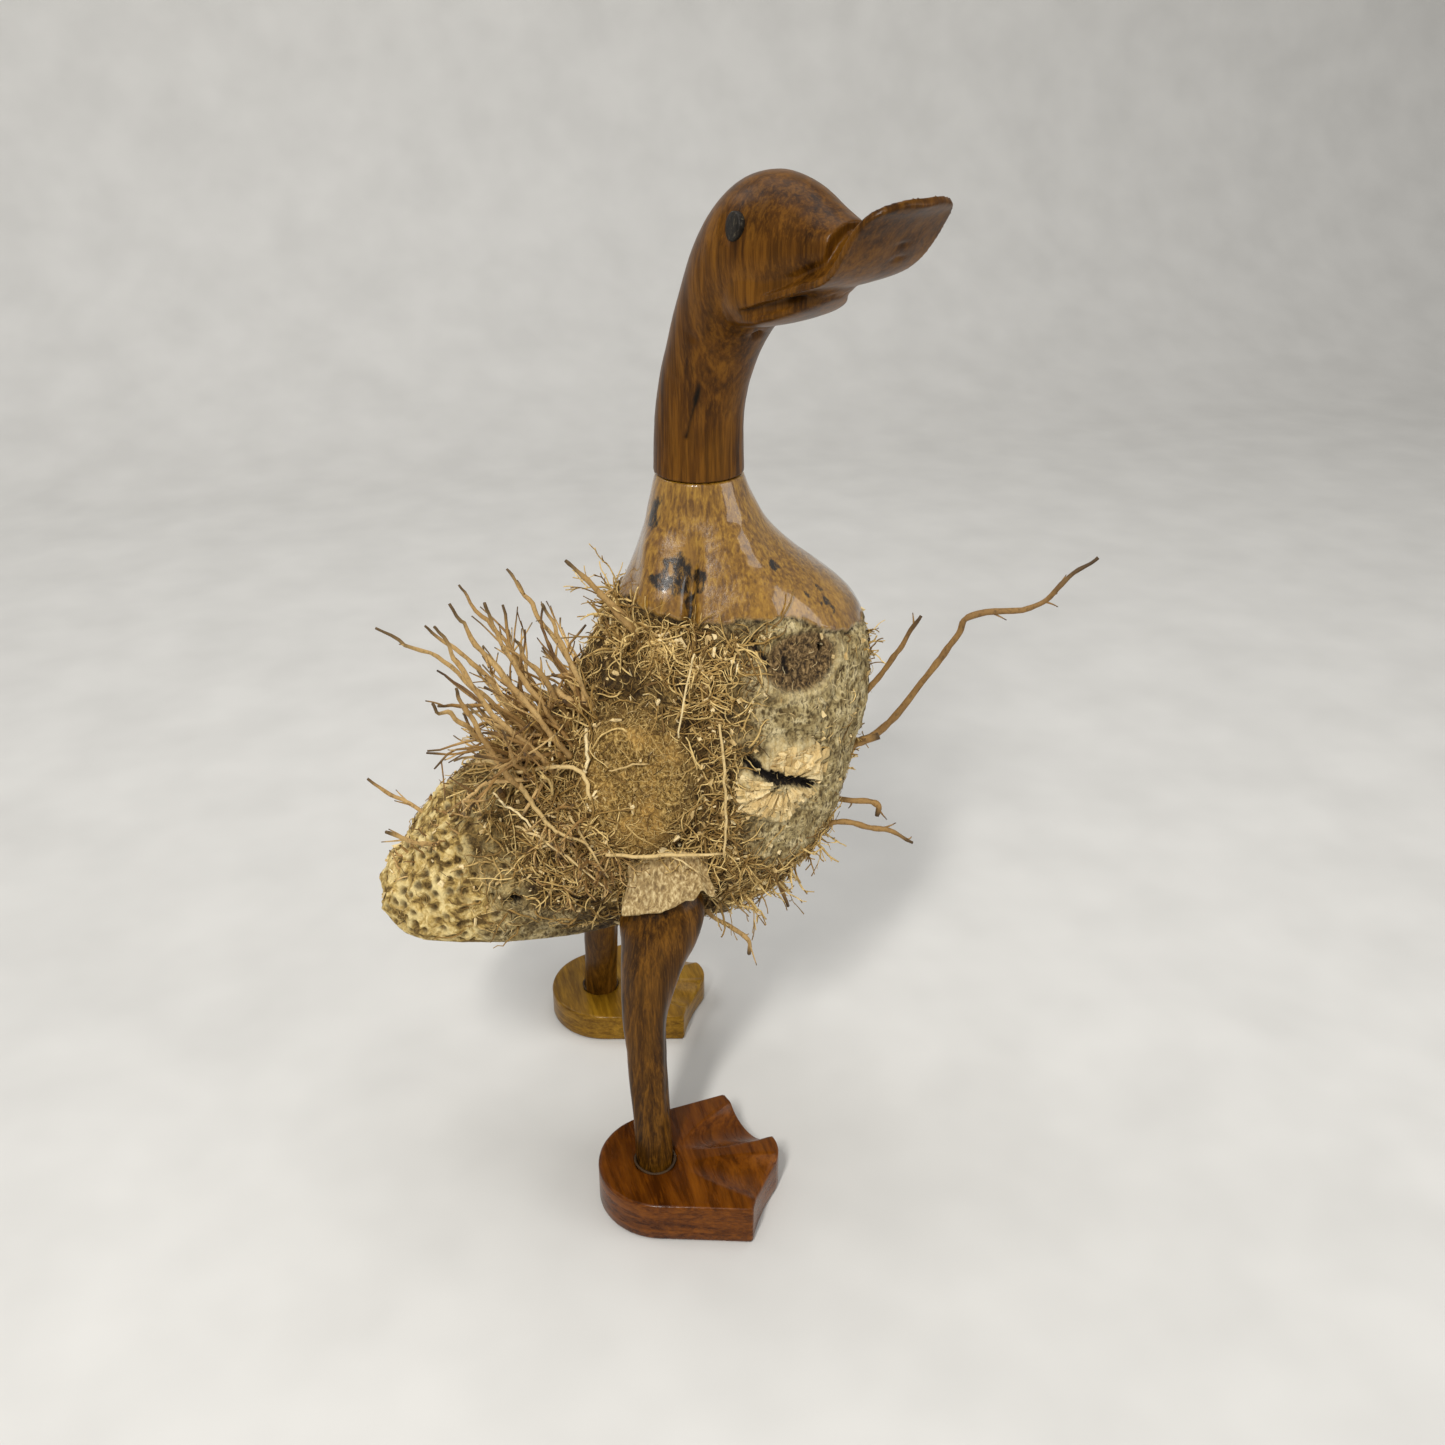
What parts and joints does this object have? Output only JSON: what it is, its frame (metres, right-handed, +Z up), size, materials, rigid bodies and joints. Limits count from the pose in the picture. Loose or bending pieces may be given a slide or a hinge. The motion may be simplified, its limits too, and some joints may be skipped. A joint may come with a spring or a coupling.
{
  "type": "standing duck ornament",
  "caption": "Standing duck ornament with a hairy bamboo-root body, a carved wooden head and neck turned to its right, carved legs and webbed feet.",
  "frame": {"origin": "middle of the part's box, on the floor plane under the soles", "axes": "+X is the way the body and feet face, +Y is the duck's left, +Z is up"},
  "size_m": [0.308, 0.2108, 0.4235],
  "materials": {
    "teak": "gloss lacquer over dark straight-grained hardwood",
    "teak_leg": "satin lacquer over dark straight-grained hardwood",
    "rhizome": "polished honey brown on the shoulders, raw and fibrous below",
    "rootlet": "raw dry root fibre",
    "sheath": "raw papery bamboo sheath",
    "red_foot": "gloss lacquer over reddish hardwood",
    "pale_foot": "gloss lacquer over yellowish hardwood",
    "eye_plug": "blackened and polished",
    "dowel": "plain turned dowel, hidden",
    "screw_steel": "plain steel, hidden"
  },
  "bodies": {
    "root": {"root_body": "rhizome", "head_and_neck": "teak", "neck_dowel": "dowel", "eye_right": "eye_plug", "eye_left": "eye_plug", "leg_right": "teak_leg", "thigh_dowel_right": "dowel", "foot_right": "red_foot", "foot_screw_right": "screw_steel", "sheath_scale_right": "sheath", "leg_left": "teak_leg", "thigh_dowel_left": "dowel", "foot_left": "pale_foot", "foot_screw_left": "screw_steel", "sheath_scale_left": "sheath", "breast_root_long": "rootlet", "breast_root_upper": "rootlet", "breast_root_stub": "rootlet", "breast_root_hooked": "rootlet", "belly_root_front": "rootlet", "belly_root_low": "rootlet", "thigh_side_root": "rootlet", "shoulder_root_tuft": "rootlet", "back_root_a": "rootlet", "back_root_b": "rootlet", "back_root_c": "rootlet", "back_root_long": "rootlet", "back_root_d": "rootlet", "back_root_e": "rootlet", "back_root_f": "rootlet", "back_root_g": "rootlet", "back_root_left_a": "rootlet", "back_root_left_b": "rootlet", "back_root_left_c": "rootlet", "tail_root_upper": "rootlet", "tail_root_lower": "rootlet"}
  },
  "joints": []
}
